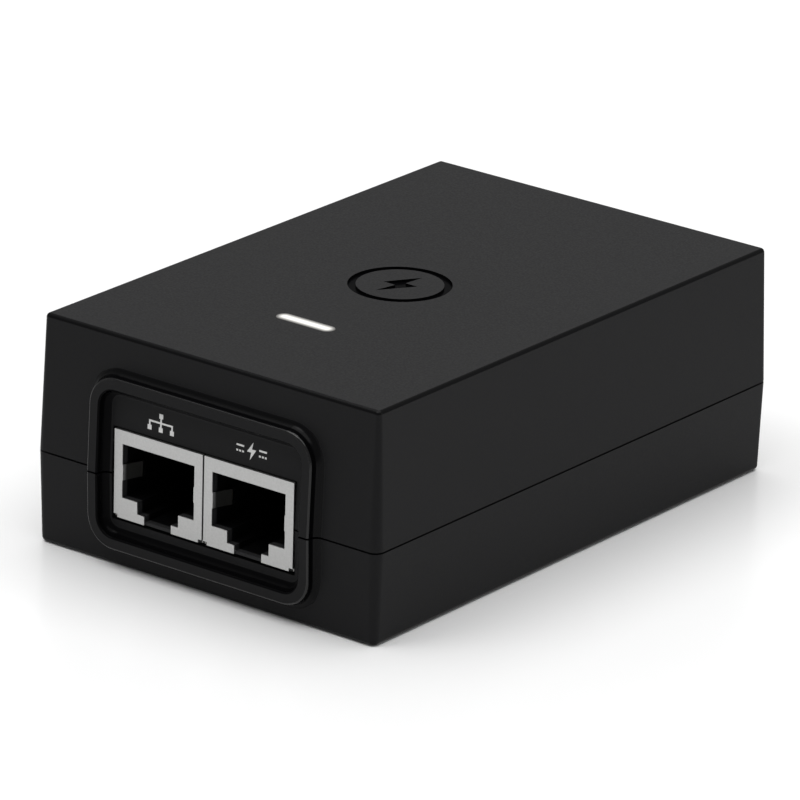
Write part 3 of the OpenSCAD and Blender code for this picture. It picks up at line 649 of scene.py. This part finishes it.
class INJECTOR_OT_sockets(Operator):
    """Finish the sockets' shields, bodies, contact wires and soldered pins"""
    bl_idname = "injector.sockets"
    bl_label = "Sockets"

    def execute(self, context):
        size = context.scene.injector_socket
        shield = nickel_plated_steel(size)
        body = glass_filled_pbt(size)
        gold = plain_metal("gold_flashed_bronze", linear("#d8a944"), 0.25, 0.3)
        tin = plain_metal("bright_tin_plate", linear("#c9cacb"), 0.3, 0.4)
        for socket in ("lan", "poe"):
            plate = softened(f"{socket}_jack_shield", size.shield_edge_mm, shield)
            dress(f"{socket}_jack_insert", body)
            dress(f"{socket}_contact_springs", gold)
            dress(f"{socket}_solder_pins", tin)
        return {"FINISHED"}


def block(x0, y0, x1, y1):
    """Corners of a printed box between two opposite corners."""
    return [Vector((x0, y0)), Vector((x1, y0)), Vector((x1, y1)), Vector((x0, y1))]


def network_mark(h, line):
    """One machine above, wired to three below, h high about the origin."""
    half = 0.13 * h
    reach = 0.75 * h
    low, wire = -h / 2 + 2 * half, line / 2
    shapes = [
        block(-half, h / 2 - 2 * half, half, h / 2),
        block(-wire, wire, wire, h / 2 - 2 * half),
        block(-reach - wire, -wire, reach + wire, wire),
    ]
    for x in (-reach, 0, reach):
        shapes.append(block(x - wire, low, x + wire, -wire))
        shapes.append(block(x - half, -h / 2, x + half, low))
    return shapes


def power_mark(h, line):
    """A lightning bolt between two signs for direct current, h high about the origin."""
    bolt = [
        (0.1, 0.5), (-0.3, -0.08), (-0.02, -0.08), (-0.1, -0.5), (0.3, 0.1), (0.02, 0.1),
    ]
    shapes = [[Vector((x * h, y * h)) for x, y in bolt]]
    for side in (-1, 1):
        left = min(side * 0.5 * h, side * h)
        shapes.append(block(left, 0.1 * h, left + 0.5 * h, 0.1 * h + line))
        for dash in (0, 0.19, 0.38):
            x = left + dash * h
            shapes.append(block(x, -0.1 * h - line, x + 0.12 * h, -0.1 * h))
    return shapes


def flat_film(name, shape, thickness):
    """One flat shape as a closed film about the origin."""
    curve = bpy.data.curves.new(name, "CURVE")
    curve.dimensions = "2D"
    curve.fill_mode = "BOTH"
    curve.extrude = thickness / 2
    spline = curve.splines.new("POLY")
    spline.points.add(len(shape) - 1)
    spline.use_cyclic_u = True
    for point, corner in zip(spline.points, shape):
        point.co = (corner.x, corner.y, 0, 1)
    film = bpy.data.objects.new(name, curve)
    bpy.context.scene.collection.objects.link(film)
    only(film)
    bpy.ops.object.convert(target="MESH")
    return bpy.context.object


def print_on_cover(name, x, z, shapes, ink_t):
    """Prints flat shapes on the cover's front as a thin film that leans as the wall does."""
    hit, place, normal, _ = NODES["top_cover"].ray_cast(
        Vector((x, COVER_LOW.y - 10 * MM, z)), Vector((0, 1, 0))
    )
    if not hit:
        raise RuntimeError(f"there is no wall for {name} to be printed on")
    films = [flat_film(f"{name}_film", shape, ink_t) for shape in shapes]
    bpy.ops.object.select_all(action="DESELECT")
    for film in films:
        film.select_set(True)
    bpy.context.view_layer.objects.active = films[0]
    bpy.ops.object.join()
    mark = bpy.context.object
    mark.name = name
    right = Vector((1, 0, 0))
    up = normal.cross(right).normalized()
    turn = Matrix((right, up, normal)).transposed().to_4x4()
    mark.matrix_world = Matrix.Translation(place + normal * ink_t / 2) @ turn
    bpy.ops.object.transform_apply(location=True, rotation=True, scale=True)
    return mark


class INJECTOR_OT_print(Operator):
    """Print a network mark over one socket and a power mark over the other"""
    bl_idname = "injector.print"
    bl_label = "Printed marks"

    def execute(self, context):
        size = context.scene.injector_print
        ink = plain_plastic("white_pad_ink", size.ink, 0.5, 0.2, shade=0.05)
        h = size.height_mm * MM
        line = size.line_mm * MM
        marks = {
            "network_mark": ((LAN_LOW.x + LAN_HIGH.x) / 2, network_mark(h, line)),
            "power_mark": ((POE_LOW.x + POE_HIGH.x) / 2, power_mark(h, line)),
        }
        for name, (x, shapes) in marks.items():
            mark = print_on_cover(name, x, size.place_z_mm * MM, shapes, size.ink_t_mm * MM)
            mark.data.materials.append(ink)
            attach(mark, "case")
        return {"FINISHED"}


class INJECTOR_OT_inlet(Operator):
    """Finish the mains inlet and its pins"""
    bl_idname = "injector.inlet"
    bl_label = "Mains inlet"

    def execute(self, context):
        nylon = plain_plastic("moulded_black_nylon", linear("#19191a"), 0.45, 0.3)
        brass = plain_metal("nickel_plated_brass", linear("#c4c0b4"), 0.28, 2.5)
        softened("inlet_housing", 0.3, nylon, 3)
        softened("inlet_pins", 0.15, brass, 2)
        return {"FINISHED"}


class INJECTOR_OT_underside(Operator):
    """Finish the label and the wall bracket"""
    bl_idname = "injector.underside"
    bl_label = "Underside"

    def execute(self, context):
        label = plain_plastic("brushed_polyester_label", linear("#b3b5b8"), 0.4, 0.5)
        dress("rating_label", label)
        bracket = plain_plastic("moulded_abs_bracket", linear("#1d1d1e"), 0.5, 0.3)
        softened("wall_bracket", 0.25, bracket, 3)
        return {"FINISHED"}


# Each finish: its name, colour, roughness, grain in mm, whether it is metal, and its nodes
BOARD_FINISHES = [
    # green lacquer over woven glass, half glossy
    ("solder_mask_on_glass_epoxy", "#1d5a35", 0.35, 0.6, False, ["circuit_board"]),
    # pale grey screws, bright where the bath took best
    ("zinc_plated_steel", "#b9b9b4", 0.35, 0.4, True, ["board_screws", "heat_sink_screws"]),
    # a straw-coloured clear sheet, glossy
    ("polyester_film", "#cdbf95", 0.3, 0.8, False, ["insulation_sheet"]),
    # a grey moulded cap, nearly matt
    ("moulded_fuse_cap", "#46494c", 0.4, 0.3, False, ["mains_fuse"]),
    # discs dipped in blue resin, which leaves them glossy and a little uneven
    ("blue_dipped_epoxy", "#2d62b0", 0.35, 0.7, False, ["surge_varistor", "isolation_capacitor"]),
    # a disc dipped in dark green silicone, which dries matt
    ("green_dipped_silicone", "#31473b", 0.5, 0.6, False, ["inrush_thermistor"]),
    # a glossy yellow moulded box
    ("yellow_capacitor_box", "#d6ad31", 0.3, 0.3, False, ["suppression_capacitor"]),
    # fired dark grey ceramic, matt and finely pitted
    ("sintered_ferrite", "#38383b", 0.6, 0.2, False,
     ["line_choke_core", "transformer_core", "output_choke"]),
    # copper seen through clear amber enamel
    ("enamelled_copper_wire", "#b8642c", 0.3, 0.5, True, ["line_choke_windings"]),
    # black transfer-moulded resin, dull
    ("epoxy_package", "#26262a", 0.5, 0.25, False,
     ["bridge_rectifier", "switching_transistor", "output_rectifier", "controller_chip",
      "network_transformer"]),
    # cream moulded resin, dull
    ("white_coupler_epoxy", "#e6e3da", 0.5, 0.25, False, ["feedback_coupler"]),
    # a glossy navy sleeve shrunk over a can
    ("shrunk_capacitor_sleeve", "#1d3252", 0.28, 0.9, False,
     ["bulk_capacitor", "output_capacitors"]),
    # bare sheet with a soft grey gloss
    ("stamped_aluminium", "#b0b3b7", 0.38, 0.5, True, ["primary_heat_sink", "secondary_heat_sink"]),
    # near-black moulded resin, dull
    ("moulded_phenolic_bobbin", "#2a2d31", 0.5, 0.3, False, ["transformer_bobbin"]),
    # glossy amber tape round the windings
    ("amber_polyester_tape", "#cf9a2b", 0.25, 0.6, False, ["transformer_windings"]),
]


class INJECTOR_OT_board(Operator):
    """Finish the board and everything on it"""
    bl_idname = "injector.board"
    bl_label = "Board"

    def execute(self, context):
        for name, colour, roughness, grain_mm, metal, nodes in BOARD_FINISHES:
            make = plain_metal if metal else plain_plastic
            material = make(name, linear(colour), roughness, grain_mm)
            for node in nodes:
                dress(node, material)
        return {"FINISHED"}


# --- Stage ---

def soft_lamp(name, place, aim, size, power):
    """A square soft lamp at a place, facing a point."""
    bpy.ops.object.light_add(type="AREA", location=place)
    lamp = bpy.context.object
    lamp.name = name
    lamp.data.shape = "SQUARE"
    lamp.data.size = size
    lamp.data.energy = power
    lamp.rotation_euler = (Vector(aim) - Vector(place)).to_track_quat("-Z", "Y").to_euler()
    return lamp


class INJECTOR_OT_stage(Operator):
    """Set up the floor, the lamps, the sky and the camera"""
    bl_idname = "injector.stage"
    bl_label = "Stage"

    def execute(self, context):
        size = context.scene.injector_stage
        bpy.ops.mesh.primitive_plane_add(size=FLOOR_SIZE, location=(0, 0, -FLOOR_DROP))
        floor = context.object
        floor.name = "floor"
        material, tree, shader, place = new_finish(
            "white_studio_board", size.floor, 0.25, specular=0.3
        )
        noise = add_node(tree, "ShaderNodeTexNoise", {"Scale": 30.0}, {"Vector": place})
        tree.links.new(vary(tree, noise.outputs["Fac"], 0.24, 0.27), shader.inputs["Roughness"])
        floor.data.materials.append(material)
        world = bpy.data.worlds.new("white_studio")
        context.scene.world = world
        world.use_nodes = True
        world.node_tree.nodes["Background"].inputs["Color"].default_value = linear("#ffffff")
        world.node_tree.nodes["Background"].inputs["Strength"].default_value = size.sky
        soft_lamp("overhead", (0, 0, 2.2), (0, 0, 0), 3.0, size.overhead)
        soft_lamp("side", (1.2, 0.5, 0.35), (0, 0, 0.02), 0.5, size.side)
        soft_lamp("rear", (-1.3, 1.7, 0.95), (0, 0, 0.02), 1.4, size.rear)
        soft_lamp("front", (-0.3, -0.5, 0.9), (0, 0, 0.02), 0.35, size.front)
        bpy.ops.object.camera_add()
        camera = context.object
        camera.name = "camera"
        camera.data.lens = size.lens_mm
        camera.data.sensor_width = SENSOR_MM
        camera.data.clip_start = 0.01
        camera.data.clip_end = 20
        back = Vector((
            math.sin(size.azimuth) * math.cos(size.elevation),
            -math.cos(size.azimuth) * math.cos(size.elevation),
            math.sin(size.elevation),
        ))
        turn = (-back).to_track_quat("-Z", "Y").to_matrix() @ Matrix.Rotation(size.roll, 3, "Z")
        stand = Vector(size.aim) + back * size.distance
        camera.matrix_world = Matrix.Translation(stand) @ turn.to_4x4()
        context.scene.camera = camera
        context.scene.view_settings.view_transform = "Standard"
        return {"FINISHED"}


OPERATORS = [
    INJECTOR_OT_case, INJECTOR_OT_light, INJECTOR_OT_sockets, INJECTOR_OT_print, INJECTOR_OT_inlet,
    INJECTOR_OT_underside, INJECTOR_OT_board, INJECTOR_OT_stage,
]
GROUPS = {
    "injector_case": CaseSize, "injector_light": LightSize,
    "injector_socket": SocketSize, "injector_print": PrintSize, "injector_stage": StageSize,
}


class INJECTOR_PT_panel(Panel):
    """Lists the sizes and the pieces of the injector"""
    bl_idname = "INJECTOR_PT_panel"
    bl_label = "Power injector"
    bl_space_type = "VIEW_3D"
    bl_region_type = "UI"
    bl_category = "Injector"

    def draw(self, context):
        for group in GROUPS:
            settings = getattr(context.scene, group)
            for prop in settings.bl_rna.properties:
                if prop.identifier not in ("rna_type", "name"):
                    self.layout.prop(settings, prop.identifier)
        for operator in OPERATORS:
            self.layout.operator(operator.bl_idname)


def register():
    for kind in [*GROUPS.values(), *OPERATORS, INJECTOR_PT_panel]:
        bpy.utils.register_class(kind)
    for name, kind in GROUPS.items():
        setattr(bpy.types.Scene, name, PointerProperty(type=kind))


def unregister():
    for name in GROUPS:
        delattr(bpy.types.Scene, name)
    for kind in reversed([*GROUPS.values(), *OPERATORS, INJECTOR_PT_panel]):
        bpy.utils.unregister_class(kind)


def main():
    register()
    bpy.ops.object.select_all(action="DESELECT")
    bpy.ops.injector.case()
    bpy.ops.injector.light()
    bpy.ops.injector.sockets()
    bpy.ops.injector.print()
    bpy.ops.injector.inlet()
    bpy.ops.injector.underside()
    bpy.ops.injector.board()
    bpy.ops.injector.stage()


if __name__ == "__main__":
    main()
